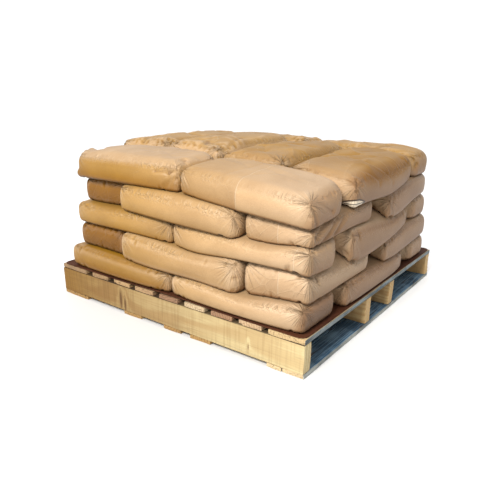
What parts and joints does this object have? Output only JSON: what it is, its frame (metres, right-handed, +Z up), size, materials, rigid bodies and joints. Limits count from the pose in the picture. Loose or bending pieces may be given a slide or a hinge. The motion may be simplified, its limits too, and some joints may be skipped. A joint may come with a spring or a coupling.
{
  "type": "pallet of sacks",
  "caption": "Timber stringer pallet carrying a bonded stack of filled kraft paper sacks on a slip sheet, ready to lift with forks.",
  "frame": {"origin": "on the floor under the middle of the pallet", "axes": "+Z up; X along the stringers, the way forks enter; Y along the deck boards, -Y is the front"},
  "size_m": [1.067, 1.067, 0.5929],
  "materials": {
    "stringer_timber": "sawn pale softwood",
    "deck_timber": "sawn softwood, weathered ends",
    "base_timber": "sawn softwood",
    "slip_sheet_board": "smooth brown fibreboard",
    "kraft_paper": "creased brown kraft paper"
  },
  "bodies": {
    "root": {"stringer_1": "stringer_timber", "stringer_2": "stringer_timber", "stringer_3": "stringer_timber", "stringer_4": "stringer_timber", "deck_board_1": "deck_timber", "deck_board_2": "deck_timber", "deck_board_3": "deck_timber", "deck_board_4": "deck_timber", "deck_board_5": "deck_timber", "deck_board_6": "deck_timber", "deck_board_7": "deck_timber", "deck_board_8": "deck_timber", "deck_board_9": "deck_timber", "base_board_1": "base_timber", "base_board_2": "base_timber", "base_board_3": "base_timber", "base_board_4": "base_timber", "base_board_5": "base_timber", "base_board_6": "base_timber", "slip_sheet": "slip_sheet_board", "sack_1_front_left": "kraft_paper", "sack_1_front_right": "kraft_paper", "sack_1_middle_1": "kraft_paper", "sack_1_middle_2": "kraft_paper", "sack_1_middle_3": "kraft_paper", "sack_1_middle_4": "kraft_paper", "sack_1_back_left": "kraft_paper", "sack_1_back_right": "kraft_paper", "sack_2_left_front": "kraft_paper", "sack_2_left_back": "kraft_paper", "sack_2_centre_1": "kraft_paper", "sack_2_centre_2": "kraft_paper", "sack_2_centre_3": "kraft_paper", "sack_2_centre_4": "kraft_paper", "sack_2_right_front": "kraft_paper", "sack_2_right_back": "kraft_paper", "sack_3_front_left": "kraft_paper", "sack_3_front_right": "kraft_paper", "sack_3_middle_1": "kraft_paper", "sack_3_middle_2": "kraft_paper", "sack_3_middle_3": "kraft_paper", "sack_3_middle_4": "kraft_paper", "sack_3_back_left": "kraft_paper", "sack_3_back_right": "kraft_paper", "sack_4_left_front": "kraft_paper", "sack_4_left_back": "kraft_paper", "sack_4_centre_1": "kraft_paper", "sack_4_centre_2": "kraft_paper", "sack_4_centre_3": "kraft_paper", "sack_4_centre_4": "kraft_paper", "sack_4_right_front": "kraft_paper", "sack_4_right_back": "kraft_paper", "sack_5_front_left": "kraft_paper", "sack_5_front_right": "kraft_paper", "sack_5_middle_1": "kraft_paper", "sack_5_middle_2": "kraft_paper", "sack_5_middle_3": "kraft_paper", "sack_5_middle_4": "kraft_paper", "sack_5_back_left": "kraft_paper", "sack_5_back_right": "kraft_paper"}
  },
  "joints": []
}
